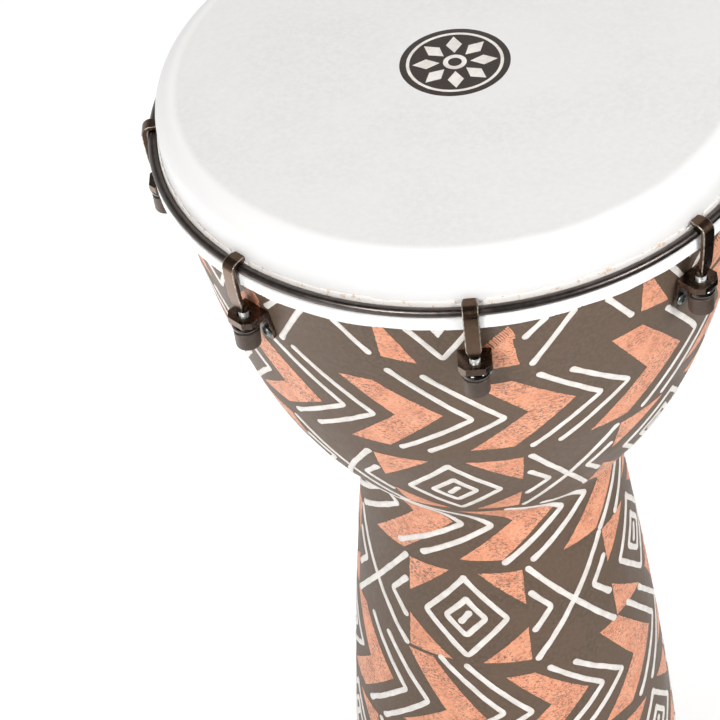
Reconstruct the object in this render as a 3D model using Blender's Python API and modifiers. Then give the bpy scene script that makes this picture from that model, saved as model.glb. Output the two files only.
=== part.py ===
"""A mechanically tuned djembe: goblet shell, headed rim, eight hooks with tuning nuts.

Metres, +Z up. The origin is the centre of the flat bottom of the rubber foot, on the drum's axis.
Everything turned is a profile with a Screw modifier. Each lug is modelled once, at azimuth 0,
and its pieces are placed at every lug by a matrix.
"""
import math

import bmesh
import bpy
from mathutils import Matrix, Vector

# Driving dimensions
HEIGHT = 0.610  # floor to the playing surface
HOOP_RADIUS = 0.165  # outside of the tension hoop
LUG_COUNT = 8
GAP = 0.0003  # between pieces that touch

# Shell
SHELL_TOP_RADIUS = 0.1574
NECK_RADIUS = 0.0732
FOOT_RADIUS = 0.1093
HEAD_RISE = 0.0309  # playing surface above the lower edge of the tension hoop
BOWL_TOP_DROP = 0.0068  # where the bowl's curve starts, below the hoop's lower edge
NECK_DROP = 0.2316  # the neck, below the hoop's lower edge
NECK_BLEND = 0.008  # how softly the bowl runs into the pipe
WALL = 0.007
RIM_WALL = 0.013  # the thicker wall under the bearing edge
EDGE_ROUND = 0.0105  # outer rounding of the bearing edge
EDGE_INNER_ROUND = 0.0035

# Head and hoops, in section
SKIN = 0.0009
COLLAR_DROP = 0.0070
HOOP_BAR = 0.0050
FLESH_INNER = 0.1592
FLESH_OUTER = 0.1642
FLESH_HEIGHT = 0.0079

# Foot
FOOT_FLOOR = 0.0030
FOOT_LEG = 0.0022
FOOT_HEIGHT = 0.0120

# Lug, in its own frame: x outward from the drum's axis, y along the rim, z up from the hoop's lower edge
ROD_X = 0.1626
ROD_RADIUS = 0.00285
ROD_TOP_Z = -0.0235
ROD_BOTTOM_Z = -0.0418
STRAP_WIDTH = 0.0080
STRAP_THICKNESS = 0.0026
HOOK_X = 0.1631
HOOK_END_X = 0.1594  # how far in the hook reaches over the hoop
STRAP_BEND_Z = -0.0090  # where the strap starts to bend in towards the rod
STRAP_END_Z = -0.0272
STRAP_POINT_Z = -0.0195  # where it starts to narrow
STRAP_POINT_LENGTH = 0.0070
STRAP_POINT_LOSS = 0.60  # how much of its width it loses there
SHELF_Z = -0.0298
SHELF_THICKNESS = 0.0038
SHELF_FRONT_X = 0.1695
SHELF_HOLE = 0.0036
BRACKET_WIDTH = 0.0170
BRACKET_CHAMFER = 0.0036
PLATE_THICKNESS = 0.0020
PLATE_TOP = 0.0155  # along the plate, above the middle between its screws
PLATE_BOTTOM = 0.0060
SCREW_Z = -0.0448
SCREW_SPACING = 0.0104
SCREW_HOLE = 0.0023
SCREW_SHANK = 0.0020
SCREW_HEAD = 0.0036
SCREW_HEAD_HEIGHT = 0.0016
NUT_RADIUS = 0.0068
NUT_COLLAR_RADIUS = 0.0069
NUT_LENGTH = 0.0160
NUT_COLLAR = 0.0027
NUT_BORE = 0.0032
SOCKET_ACROSS_FLATS = 0.0060
SOCKET_DEPTH = 0.0035
PILOT_HOLE = 0.0020
BACKING_THICKNESS = 0.0025
BACKING_HEIGHT = 0.0120
SCREW_PAST = 0.0015  # how far a screw comes through its backing plate
HOOP_SOFT = 0.0016  # rounding of the flesh hoop's outer corners
FOOT_SOFT = 0.0010
NUT_DOME = 0.0012

STEPS = 48  # around the drum
SMALL_STEPS = 10  # around a screw
NUT_STEPS = 14
MERGE = 0.00001

HOOP_Z = HEIGHT - HEAD_RISE
NECK_Z = HOOP_Z - NECK_DROP
BOWL_TOP_Z = HOOP_Z - BOWL_TOP_DROP
SKIN_TOP_Z = HEIGHT
EDGE_TOP_Z = SKIN_TOP_Z - SKIN - GAP


def clear_scene():
    """Remove what the scene starts with."""
    for thing in list(bpy.data.objects):
        bpy.data.objects.remove(thing)


def collection(name):
    """A new collection in the scene."""
    made = bpy.data.collections.new(name)
    bpy.context.scene.collection.children.link(made)
    return made


def material(name, colour, roughness, metallic=0.0):
    """A plain Principled material."""
    made = bpy.data.materials.new(name)
    made.use_nodes = True
    shader = made.node_tree.nodes["Principled BSDF"]
    shader.inputs["Base Color"].default_value = (*colour, 1.0)
    shader.inputs["Roughness"].default_value = roughness
    shader.inputs["Metallic"].default_value = metallic
    return made


def add(name, mesh, finish, where=Matrix()):
    """A named part made from a mesh."""
    thing = bpy.data.objects.new(name, mesh)
    thing.matrix_world = where
    PARTS.objects.link(thing)
    thing.data.materials.clear()
    thing.data.materials.append(finish)
    return thing


def cutter(name, mesh, where=Matrix()):
    """A hidden object that cuts a part."""
    thing = bpy.data.objects.new(name, mesh)
    thing.matrix_world = where
    thing.hide_render = True
    thing.display_type = "WIRE"
    CUTTERS.objects.link(thing)
    return thing


def boolean(thing, other, operation):
    """Cut or join with another object."""
    made = thing.modifiers.new(operation.lower(), "BOOLEAN")
    made.operation = operation
    made.solver = "EXACT"
    made.object = other


def finished(thing):
    """The mesh of an object with its modifiers applied; the object is removed."""
    bpy.context.view_layer.update()
    depsgraph = bpy.context.evaluated_depsgraph_get()
    mesh = bpy.data.meshes.new_from_object(thing.evaluated_get(depsgraph))
    bpy.data.objects.remove(thing)
    return mesh


def outline_mesh(name, points, closed):
    """A chain of edges in the XZ plane."""
    mesh = bpy.data.meshes.new(name)
    edges = [(i, i + 1) for i in range(len(points) - 1)]
    if closed:
        edges.append((len(points) - 1, 0))
    mesh.from_pydata([(x, 0.0, z) for x, z in points], edges, [])
    return mesh


def turned(name, points, steps, closed=True):
    """A turned mesh. The profile starts at its top and runs down the outer side."""
    thing = bpy.data.objects.new(name, outline_mesh(name, points, closed))
    bpy.context.scene.collection.objects.link(thing)
    screw = thing.modifiers.new("turn", "SCREW")
    screw.steps = steps
    screw.render_steps = steps
    screw.use_merge_vertices = True
    screw.merge_threshold = MERGE
    mesh = finished(thing)
    mesh.name = name
    mesh.shade_smooth()
    mesh.set_sharp_from_angle(angle=math.radians(40))
    return mesh


def cylinder(name, radius, bottom, top, steps=SMALL_STEPS):
    """A plain cylinder along Z."""
    mesh = bpy.data.meshes.new(name)
    form = bmesh.new()
    middle = Matrix.Translation((0.0, 0.0, (bottom + top) / 2))
    bmesh.ops.create_cone(form, cap_ends=True, segments=steps, radius1=radius, radius2=radius,
                          depth=top - bottom, matrix=middle)
    form.to_mesh(mesh)
    form.free()
    return mesh


def box(name, low, high):
    """A box between two corners."""
    mesh = bpy.data.meshes.new(name)
    form = bmesh.new()
    low, high = Vector(low), Vector(high)
    place = Matrix.Translation((low + high) / 2) @ Matrix.Diagonal((*(high - low), 1.0))
    bmesh.ops.create_cube(form, size=1.0, matrix=place)
    form.to_mesh(mesh)
    form.free()
    return mesh


def arc(centre_x, centre_z, radius, start_deg, end_deg, count):
    """Points along an arc in the XZ plane; 0 is +X and 90 is +Z."""
    angles = [math.radians(start_deg + (end_deg - start_deg) * i / count) for i in range(count + 1)]
    return [(centre_x + radius * math.cos(a), centre_z + radius * math.sin(a)) for a in angles]


def shell_radius(z):
    """The shell's outer radius: a bowl curve and a flared pipe, blended at the neck."""
    if z >= BOWL_TOP_Z:
        return SHELL_TOP_RADIUS
    down = (BOWL_TOP_Z - z) / (BOWL_TOP_Z - NECK_Z)
    bowl = SHELL_TOP_RADIUS - (SHELL_TOP_RADIUS - NECK_RADIUS) * (0.45 * down + 0.55 * down ** 3.8)
    below = (NECK_Z - z) / NECK_Z
    pipe = NECK_RADIUS + (FOOT_RADIUS - NECK_RADIUS) * (1.42 * below - 0.42 * below ** 2)
    return (bowl + pipe + math.hypot(bowl - pipe, NECK_BLEND)) / 2


def shell_slope(z):
    """How fast the shell's radius grows with height."""
    step = 0.0005
    return (shell_radius(z + step) - shell_radius(z - step)) / (2 * step)


def wall_levels():
    """Heights of the profile's points from the bowl's top to the foot, closest near the neck."""
    bowl = [BOWL_TOP_Z - (BOWL_TOP_Z - NECK_Z) * down
            for down in (0.0, 0.12, 0.3, 0.47, 0.62, 0.75, 0.85, 0.92, 0.97)]
    pipe = [NECK_Z * level for level in (1.0, 0.97, 0.92, 0.8, 0.55, 0.25)]
    return bowl + pipe


def inside_point(z, depth):
    """The point a given depth inside the wall, square to the outer surface."""
    slope = shell_slope(z)
    length = math.hypot(1.0, slope)
    return shell_radius(z) - depth / length, z + depth * slope / length


def shell_profile():
    """Down the outside, under the foot and up the inside."""
    edge_x = SHELL_TOP_RADIUS - EDGE_ROUND
    outer = arc(edge_x, EDGE_TOP_Z - EDGE_ROUND, EDGE_ROUND, 90, 0, 5)
    outer += [(shell_radius(z), z) for z in wall_levels()]
    bottom_z = FOOT_FLOOR + GAP
    outer.append((shell_radius(bottom_z), bottom_z))
    inner = [(shell_radius(bottom_z) - WALL, bottom_z)]
    inner += [inside_point(z, WALL) for z in reversed(wall_levels()[1:])]
    inner.append((SHELL_TOP_RADIUS - RIM_WALL, HOOP_Z))
    inner_x = SHELL_TOP_RADIUS - RIM_WALL + EDGE_INNER_ROUND
    inner += arc(inner_x, EDGE_TOP_Z - EDGE_INNER_ROUND, EDGE_INNER_ROUND, 180, 90, 3)
    return outer + inner


def plate_tilt():
    """How far the shell leans back behind the bracket, in radians."""
    return math.atan(shell_slope(HOOP_Z + SCREW_Z))


def seat():
    """The bracket's seat on the shell: +X square to the wall, +Z up along it."""
    z = HOOP_Z + SCREW_Z
    place = Matrix.Translation((shell_radius(z), 0.0, z))
    return place @ Matrix.Rotation(plate_tilt(), 4, "Y")


def lug_turn(index):
    """The turn from azimuth 0 to a lug."""
    return Matrix.Rotation(2 * math.pi * index / LUG_COUNT, 4, "Z")


def screw_places():
    """The two screw axes of a bracket: each with its head outward along +Z, seated on the shell."""
    outward = Matrix.Rotation(math.pi / 2, 4, "Y")
    aside = SCREW_SPACING / 2
    return [seat() @ Matrix.Translation((0.0, side * aside, 0.0)) @ outward for side in (-1, 1)]


def joined(name, meshes_and_places):
    """Several separate meshes as one."""
    form = bmesh.new()
    for mesh, place in meshes_and_places:
        before = len(form.verts)
        form.from_mesh(mesh)
        bmesh.ops.transform(form, matrix=place, verts=form.verts[before:])
        form.verts.ensure_lookup_table()
    mesh = bpy.data.meshes.new(name)
    form.to_mesh(mesh)
    form.free()
    return mesh


def make_shell(finish):
    """The goblet, with its screw holes."""
    shell = add("shell", turned("shell", shell_profile(), STEPS), finish)
    drill = cylinder("drill", SCREW_HOLE, -2 * WALL, WALL)
    holes = [(drill, lug_turn(i) @ place) for i in range(LUG_COUNT) for place in screw_places()]
    boolean(shell, cutter("screw_holes", joined("screw_holes", holes)), "DIFFERENCE")


def make_skin(finish):
    """The membrane: flat, over the bearing edge and down the collar behind the hoops."""
    inner_x = SHELL_TOP_RADIUS - EDGE_ROUND
    centre_z = EDGE_TOP_Z - EDGE_ROUND
    low_z = HOOP_Z - COLLAR_DROP
    near = EDGE_ROUND + GAP
    outer = [(0.0, SKIN_TOP_Z)] + arc(inner_x, centre_z, near + SKIN, 90, 0, 5)
    outer.append((inner_x + near + SKIN, low_z))
    inner = [(inner_x + near, low_z)] + arc(inner_x, centre_z, near, 0, 90, 5)
    inner.append((0.0, SKIN_TOP_Z - SKIN))
    add("head_skin", turned("head_skin", outer + inner, STEPS, closed=False), finish)


def make_hoops(steel, white):
    """The round tension hoop, and the flesh hoop under it that the head is lapped round."""
    bar = HOOP_BAR / 2
    section = arc(HOOP_RADIUS - bar, bar, bar, 90, -240, 11)
    place = Matrix.Translation((0.0, 0.0, HOOP_Z))
    add("tension_hoop", turned("tension_hoop", section, STEPS), steel, place)
    top = -GAP
    low = top - FLESH_HEIGHT
    soft = HOOP_SOFT
    section = arc(FLESH_OUTER - soft, top - soft, soft, 90, 0, 2)
    section += arc(FLESH_OUTER - soft, low + soft, soft, 0, -90, 2)
    section += [(FLESH_INNER, low), (FLESH_INNER, top)]
    add("flesh_hoop", turned("flesh_hoop", section, STEPS), white, place)


def make_foot(rubber):
    """A rubber edging that the shell's bottom edge sits in."""
    outer = shell_radius(0.0) + GAP + FOOT_LEG
    slot_outer = outer - FOOT_LEG
    slot_inner = shell_radius(FOOT_HEIGHT) - WALL - 2 * GAP
    inner = slot_inner - FOOT_LEG
    low = FOOT_FLOOR
    soft = FOOT_SOFT
    section = [(outer - soft, FOOT_HEIGHT), (outer, FOOT_HEIGHT - soft), (outer, soft), (outer - soft, 0.0)]
    section += [(inner, 0.0), (inner, FOOT_HEIGHT), (slot_inner, FOOT_HEIGHT), (slot_inner, low)]
    section += [(slot_outer, low), (slot_outer, FOOT_HEIGHT)]
    add("foot_ring", turned("foot_ring", section, STEPS), rubber)


def strap_path():
    """The strap's middle line: over the hoop, down outside it and in to the rod."""
    reach = HOOP_BAR / 2 + GAP + STRAP_THICKNESS / 2
    path = [(HOOK_END_X, HOOP_BAR / 2 + reach)] + arc(HOOK_X, HOOP_BAR / 2, reach, 90, 0, 5)
    outside = HOOK_X + reach
    inward = outside - ROD_X
    for i in range(6):
        share = i / 5
        z = STRAP_BEND_Z + (STRAP_END_Z - STRAP_BEND_Z) * share
        path.append((outside - inward * share ** 2, z))
    return path


def strap_width(z):
    """Full width, drawn in to a blunt point over the rod."""
    taper = min(max((STRAP_POINT_Z - z) / STRAP_POINT_LENGTH, 0.0), 1.0)
    return STRAP_WIDTH * (1.0 - STRAP_POINT_LOSS * taper ** 1.6)


def make_claws(steel):
    """The hooks: a flat strap joined to a threaded rod."""
    form = bmesh.new()
    rows = []
    for x, z in strap_path():
        half = strap_width(z) / 2
        rows.append([form.verts.new((x - ROD_X, side * half, z)) for side in (-1, 1)])
    for above, below in zip(rows, rows[1:]):
        form.faces.new((above[0], below[0], below[1], above[1]))
    bmesh.ops.recalc_face_normals(form, faces=form.faces)
    mesh = bpy.data.meshes.new("claw")
    form.to_mesh(mesh)
    form.free()
    claw = bpy.data.objects.new("claw", mesh)
    bpy.context.scene.collection.objects.link(claw)
    thick = claw.modifiers.new("thickness", "SOLIDIFY")
    thick.thickness = STRAP_THICKNESS
    thick.offset = 0.0
    thick.use_even_offset = True
    rod = cutter("claw_rod", cylinder("claw_rod", ROD_RADIUS, ROD_BOTTOM_Z, ROD_TOP_Z))
    boolean(claw, rod, "UNION")
    mesh = finished(claw)
    bpy.data.objects.remove(rod)
    for i in range(LUG_COUNT):
        add(f"claw_{i + 1}", mesh, steel, lug_turn(i) @ Matrix.Translation((ROD_X, 0.0, HOOP_Z)))


def make_brackets(steel):
    """The lug brackets: a plate screwed to the shell, with a shelf that holds the nut."""
    here = Matrix.Translation((-ROD_X, 0.0, -HOOP_Z))
    half = BRACKET_WIDTH / 2
    plate = box("plate", (GAP, -half, -PLATE_BOTTOM), (GAP + PLATE_THICKNESS, half, PLATE_TOP))
    bracket = bpy.data.objects.new("bracket", plate)
    bracket.matrix_world = here @ seat()
    bpy.context.scene.collection.objects.link(bracket)
    shelf_back = shell_radius(HOOP_Z + SHELF_Z) + GAP + PLATE_THICKNESS / 2 - ROD_X
    shelf_low = SHELF_Z - SHELF_THICKNESS
    shelf_mesh = box("shelf", (shelf_back, -half, shelf_low), (SHELF_FRONT_X - ROD_X, half, SHELF_Z))
    shelf = cutter("bracket_shelf", shelf_mesh)
    chamfer_front(shelf_mesh)
    hole = cylinder("bracket_hole", SHELF_HOLE, shelf_low - SHELF_THICKNESS, SHELF_Z + SHELF_THICKNESS, 16)
    rod_hole = cutter("bracket_hole", hole)
    drill = cylinder("plate_drill", SCREW_HOLE, -WALL, WALL)
    holes = joined("plate_holes", [(drill, here @ place) for place in screw_places()])
    screw_holes = cutter("bracket_screw_holes", holes)
    boolean(bracket, shelf, "UNION")
    boolean(bracket, rod_hole, "DIFFERENCE")
    boolean(bracket, screw_holes, "DIFFERENCE")
    place = bracket.matrix_world.copy()
    mesh = finished(bracket)
    mesh.transform(place)
    for thing in (shelf, rod_hole, screw_holes):
        bpy.data.objects.remove(thing)
    for i in range(LUG_COUNT):
        add(f"bracket_{i + 1}", mesh, steel, lug_turn(i) @ Matrix.Translation((ROD_X, 0.0, HOOP_Z)))


def chamfer_front(mesh):
    """Cut the two upright corners at the shelf's front."""
    form = bmesh.new()
    form.from_mesh(mesh)
    front = max(v.co.x for v in form.verts)
    corners = [e for e in form.edges
               if abs(e.verts[0].co.z - e.verts[1].co.z) > MERGE and e.verts[0].co.x > front - MERGE]
    bmesh.ops.bevel(form, geom=corners, offset=BRACKET_CHAMFER, segments=1, affect="EDGES")
    form.to_mesh(mesh)
    form.free()


def make_nuts(steel):
    """The tuning nuts: a collar that turns under the shelf, a sleeve, and a hex socket below."""
    dome = NUT_DOME
    step = SOCKET_DEPTH - NUT_LENGTH
    profile = [(NUT_COLLAR_RADIUS - dome, 0.0), (NUT_COLLAR_RADIUS, -dome)]
    profile += [(NUT_COLLAR_RADIUS - 0.0004, -NUT_COLLAR), (NUT_RADIUS, -NUT_COLLAR - 0.0004)]
    profile += [(NUT_RADIUS, dome - NUT_LENGTH), (NUT_RADIUS - dome, -NUT_LENGTH)]
    profile += [(PILOT_HOLE, -NUT_LENGTH), (PILOT_HOLE, step), (NUT_BORE, step), (NUT_BORE, 0.0)]
    nut = bpy.data.objects.new("nut", turned("nut", profile, NUT_STEPS))
    bpy.context.scene.collection.objects.link(nut)
    corner = SOCKET_ACROSS_FLATS / 2 / math.cos(math.pi / 6)
    socket = cutter("nut_socket", cylinder("nut_socket", corner, -NUT_LENGTH - dome, step + GAP, 6))
    boolean(nut, socket, "DIFFERENCE")
    mesh = finished(nut)
    bpy.data.objects.remove(socket)
    place = Matrix.Translation((ROD_X, 0.0, HOOP_Z + SHELF_Z - SHELF_THICKNESS - GAP))
    for i in range(LUG_COUNT):
        add(f"tuning_nut_{i + 1}", mesh, steel, lug_turn(i) @ place)


def make_screws(zinc):
    """The bracket screws, through the plate and the shell into the backing plate."""
    under = 2 * GAP + PLATE_THICKNESS
    end = -WALL - 3 * GAP - BACKING_THICKNESS - SCREW_PAST
    top = under + SCREW_HEAD_HEIGHT
    profile = [(0.0, top), (SCREW_HEAD * 0.62, top - GAP), (SCREW_HEAD, under + 2 * GAP)]
    profile += [(SCREW_HEAD, under), (SCREW_SHANK, under), (SCREW_SHANK, end), (0.0, end)]
    mesh = turned("screw", profile, SMALL_STEPS, closed=False)
    names = ("left", "right")
    for i in range(LUG_COUNT):
        for name, place in zip(names, screw_places()):
            add(f"bracket_screw_{i + 1}_{name}", mesh, zinc, lug_turn(i) @ place)


def make_backing_plates(zinc):
    """The tapped plates inside the shell that the screws hold."""
    half = BRACKET_WIDTH / 2
    tall = BACKING_HEIGHT / 2
    near = -WALL - 3 * GAP
    drill = cylinder("backing_drill", SCREW_HOLE, -4 * WALL, WALL)
    places = [(drill, seat().inverted() @ place) for place in screw_places()]
    holes = cutter("backing_holes", joined("backing_holes", places))
    form = box("backing", (near - BACKING_THICKNESS, -half, -tall), (near, half, tall))
    plate = bpy.data.objects.new("backing", form)
    bpy.context.scene.collection.objects.link(plate)
    boolean(plate, holes, "DIFFERENCE")
    mesh = finished(plate)
    bpy.data.objects.remove(holes)
    for i in range(LUG_COUNT):
        add(f"backing_plate_{i + 1}", mesh, zinc, lug_turn(i) @ seat())


clear_scene()
PARTS = collection("djembe")
CUTTERS = collection("cutters")
make_shell(material("painted_shell", (0.14, 0.11, 0.085), 0.45))
make_skin(material("membrane", (0.86, 0.87, 0.87), 0.5))
BLACK = material("black_steel", (0.03, 0.026, 0.023), 0.3, 0.7)
ZINC = material("zinc_steel", (0.62, 0.63, 0.62), 0.3, 1.0)
make_hoops(BLACK, material("lapped_skin", (0.9, 0.9, 0.89), 0.55))
make_foot(material("rubber", (0.025, 0.025, 0.025), 0.8))
make_claws(BLACK)
make_brackets(BLACK)
make_nuts(material("nut_steel", (0.09, 0.075, 0.066), 0.5, 0.4))
make_screws(ZINC)
make_backing_plates(ZINC)
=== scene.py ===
"""The looks of a mechanically tuned djembe: painted goblet shell, synthetic head, black hardware.

Metres, +Z up, the origin at the centre of the foot. A lug's own frame has x outward from the drum's
axis, y along the rim and z up from the tension hoop's lower edge, and every lug is that frame turned.
"""
import math
import random

import bmesh
import bpy
from mathutils import Matrix, Vector, noise


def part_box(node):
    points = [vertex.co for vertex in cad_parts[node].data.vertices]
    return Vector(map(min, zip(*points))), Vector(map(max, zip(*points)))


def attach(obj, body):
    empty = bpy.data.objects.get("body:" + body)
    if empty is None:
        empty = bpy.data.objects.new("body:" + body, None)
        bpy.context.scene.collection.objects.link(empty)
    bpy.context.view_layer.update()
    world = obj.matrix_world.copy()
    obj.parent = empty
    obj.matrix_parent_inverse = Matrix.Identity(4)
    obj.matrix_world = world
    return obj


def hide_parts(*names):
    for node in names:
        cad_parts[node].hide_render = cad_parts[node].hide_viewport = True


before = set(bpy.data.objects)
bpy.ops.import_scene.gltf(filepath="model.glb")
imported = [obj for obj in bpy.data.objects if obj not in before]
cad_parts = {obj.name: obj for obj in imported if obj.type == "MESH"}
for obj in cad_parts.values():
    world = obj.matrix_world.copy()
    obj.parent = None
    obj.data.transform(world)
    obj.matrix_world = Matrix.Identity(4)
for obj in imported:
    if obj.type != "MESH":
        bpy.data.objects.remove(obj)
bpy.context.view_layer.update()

# Driving dimensions. They are the CAD model's, apart from details that only the looks have.
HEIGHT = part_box("head_skin")[1].z
HOOP_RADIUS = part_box("tension_hoop")[1].x
HOOP_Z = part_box("tension_hoop")[0].z
LUG_COUNT = 8
GAP = 0.0003

SHELL_TOP_RADIUS = 0.1574
NECK_RADIUS = 0.0732
FOOT_RADIUS = 0.1093
NECK_Z = HOOP_Z - 0.2316
BOWL_TOP_Z = HOOP_Z - 0.0068
NECK_BLEND = 0.008
WALL = 0.007
RIM_WALL = 0.013
EDGE_ROUND = 0.0105
EDGE_INNER_ROUND = 0.0035
SKIN = 0.0009
EDGE_TOP_Z = HEIGHT - SKIN - GAP
EDGE_X = SHELL_TOP_RADIUS - EDGE_ROUND
COLLAR_DROP = 0.0070
HOOP_BAR = 0.0050
FLESH_INNER = 0.1592
FLESH_OUTER = 0.1642
FLESH_HEIGHT = 0.0079
FOOT_FLOOR = 0.0030
FOOT_LEG = 0.0022
FOOT_HEIGHT = 0.0120

ROD_X = 0.1626
ROD_RADIUS = 0.00285
ROD_TOP_Z = -0.0255
ROD_BOTTOM_Z = -0.0418
STRAP_WIDTH = 0.0080
STRAP_THICKNESS = 0.0026
HOOK_X = 0.1631
HOOK_END_X = 0.1594
STRAP_BEND_Z = -0.0005
STRAP_END_Z = -0.0272
STRAP_END_OUT = 0.0008
BOSS_RADIUS = 0.0030
BOSS_TOP_Z = -0.0232
STRAP_POINT_Z = -0.0200
STRAP_POINT_LENGTH = 0.0072
STRAP_POINT_LOSS = 0.66
STRAP_ROLL = 0.00055
STRAP_CORNER = 4  # steps round each rolled edge of the strap's section
THREAD_PITCH = 0.001
THREAD_DEPTH = 0.00034
SHELF_Z = -0.0298
SHELF_THICKNESS = 0.0038
SHELF_FRONT_X = 0.1695
SHELF_HOLE = 0.0036
BRACKET_WIDTH = 0.0170
BRACKET_CHAMFER = 0.0036
PLATE_THICKNESS = 0.0020
PLATE_TOP = 0.0155
PLATE_BOTTOM = 0.0060
PLATE_LAP = 0.0016  # how far under the shelf's top the plate ends
SCREW_Z = -0.0448
SCREW_SPACING = 0.0098
SCREW_HOLE = 0.0023
SCREW_SHANK = 0.0020
SCREW_HEAD = 0.0032
SCREW_HEAD_HEIGHT = 0.0016
SCREW_SOCKET = 0.0024
NUT_RADIUS = 0.0068
NUT_COLLAR_RADIUS = 0.0073
NUT_LENGTH = 0.0160
NUT_COLLAR = 0.0049
NUT_BORE = 0.0032
NUT_SOCKET = 0.0060
SOCKET_DEPTH = 0.0035
BACKING_THICKNESS = 0.0025
BACKING_HEIGHT = 0.0120

# The painted pattern
BOWL_STROKE = 0.0034
PIPE_STROKE = 0.0038
STROKE_RISE = 0.00045
PATCH_RISE = 0.00012
PAINT_SINK = 0.00025
BADGE_RADIUS = 0.0290

TURN_STEPS = 256
FINE_TURN_STEPS = 1440


# Shapes and places that follow the CAD model

def shell_radius(z):
    """The shell's outer radius: a bowl curve and a flared pipe, blended at the neck."""
    if z >= BOWL_TOP_Z:
        return SHELL_TOP_RADIUS
    down = (BOWL_TOP_Z - z) / (BOWL_TOP_Z - NECK_Z)
    bowl = SHELL_TOP_RADIUS - (SHELL_TOP_RADIUS - NECK_RADIUS) * (0.45 * down + 0.55 * down ** 3.8)
    below = (NECK_Z - z) / NECK_Z
    pipe = NECK_RADIUS + (FOOT_RADIUS - NECK_RADIUS) * (1.42 * below - 0.42 * below ** 2)
    return (bowl + pipe + math.hypot(bowl - pipe, NECK_BLEND)) / 2


def shell_slope(z):
    """How fast the shell's radius grows with height."""
    step = 0.0005
    return (shell_radius(z + step) - shell_radius(z - step)) / (2 * step)


def inside_point(z, depth):
    """The point a given depth inside the wall, square to the outer surface."""
    slope = shell_slope(z)
    length = math.hypot(1.0, slope)
    return shell_radius(z) - depth / length, z + depth * slope / length


def seat():
    """A bracket's seat on the shell: +X square to the wall, +Z up along it."""
    z = HOOP_Z + SCREW_Z
    tilt = math.atan(shell_slope(z))
    return Matrix.Translation((shell_radius(z), 0.0, z)) @ Matrix.Rotation(tilt, 4, "Y")


def lug_turn(index):
    """The turn from azimuth 0 to a lug."""
    return Matrix.Rotation(2 * math.pi * index / LUG_COUNT, 4, "Z")


def lug_place(index):
    """A lug's rod axis, level with the tension hoop's lower edge."""
    return lug_turn(index) @ Matrix.Translation((ROD_X, 0.0, HOOP_Z))


def screw_places():
    """A bracket's two screw axes, each outward along +Z from its seat on the shell."""
    outward = Matrix.Rotation(math.pi / 2, 4, "Y")
    aside = SCREW_SPACING / 2
    return [seat() @ Matrix.Translation((0.0, side * aside, 0.0)) @ outward for side in (-1, 1)]


# Mesh tools

def arc(centre_x, centre_z, radius, start_deg, end_deg, count):
    """Points along an arc in the XZ plane; 0 is +X and 90 is +Z."""
    angles = [math.radians(start_deg + (end_deg - start_deg) * i / count) for i in range(count + 1)]
    return [(centre_x + radius * math.cos(a), centre_z + radius * math.sin(a)) for a in angles]


def between(start, end, count):
    """Evenly spaced values from start to end, both included."""
    return [start + (end - start) * i / (count - 1) for i in range(count)]


def rings_mesh(name, rings, closed, smooth_deg=40):
    """A skin over rings of points. A ring of one point is a tip; closed joins the last ring to the first."""
    mesh = bpy.data.meshes.new(name)
    points = [point for ring in rings for point in ring]
    starts = [sum(len(ring) for ring in rings[:i]) for i in range(len(rings))]
    pairs = list(zip(range(len(rings) - 1), range(1, len(rings))))
    if closed:
        pairs.append((len(rings) - 1, 0))
    faces = []
    for upper, lower in pairs:
        a, b = starts[upper], starts[lower]
        count = max(len(rings[upper]), len(rings[lower]))
        for i in range(count):
            j = (i + 1) % count
            if len(rings[upper]) == 1:
                faces.append((a, b + i, b + j))
            elif len(rings[lower]) == 1:
                faces.append((a + i, b, a + j))
            else:
                faces.append((a + i, b + i, b + j, a + j))
    mesh.from_pydata(points, [], faces)
    mesh.shade_smooth()
    mesh.set_sharp_from_angle(angle=math.radians(smooth_deg))
    return mesh


def turned(name, profile, steps=TURN_STEPS, closed=True, shift=None):
    """A turned form. Its profile runs down the outer side; shift(x, z, angle) may move each point."""
    rings = []
    for x, z in profile:
        count = 1 if x == 0.0 else steps
        ring = []
        for i in range(count):
            angle = 2 * math.pi * i / steps
            r, level = shift(x, z, angle) if shift else (x, z)
            ring.append((r * math.cos(angle), r * math.sin(angle), level))
        rings.append(ring)
    return rings_mesh(name, rings, closed)


def form_mesh(name, form):
    """A finished bmesh as a mesh."""
    mesh = bpy.data.meshes.new(name)
    bmesh.ops.recalc_face_normals(form, faces=form.faces)
    form.to_mesh(mesh)
    form.free()
    return mesh


def prism(name, outline, low, high):
    """A flat outline in the XY plane, drawn up from low to high."""
    form = bmesh.new()
    base = [form.verts.new((x, y, low)) for x, y in outline]
    bottom = form.faces.new(base)
    drawn = bmesh.ops.extrude_face_region(form, geom=[bottom])
    top = [v for v in drawn["geom"] if isinstance(v, bmesh.types.BMVert)]
    bmesh.ops.translate(form, verts=top, vec=(0.0, 0.0, high - low))
    return form_mesh(name, form)


def circle(radius, count):
    """Points round a circle."""
    angles = [2 * math.pi * i / count for i in range(count)]
    return [(radius * math.cos(a), radius * math.sin(a)) for a in angles]


def rounded_box_outline(half_x, half_y, radius, steps=6):
    """A rectangle with round corners."""
    outline = []
    for corner in range(4):
        start = 90 * corner
        x = (half_x - radius) * (1 if corner in (0, 3) else -1)
        y = (half_y - radius) * (1 if corner in (0, 1) else -1)
        outline += arc(x, y, radius, start, start + 90, steps)
    return outline


def added(name, data, where=Matrix()):
    """A new object in the scene."""
    thing = bpy.data.objects.new(name, data)
    bpy.context.scene.collection.objects.link(thing)
    thing.matrix_world = where
    return thing


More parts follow.
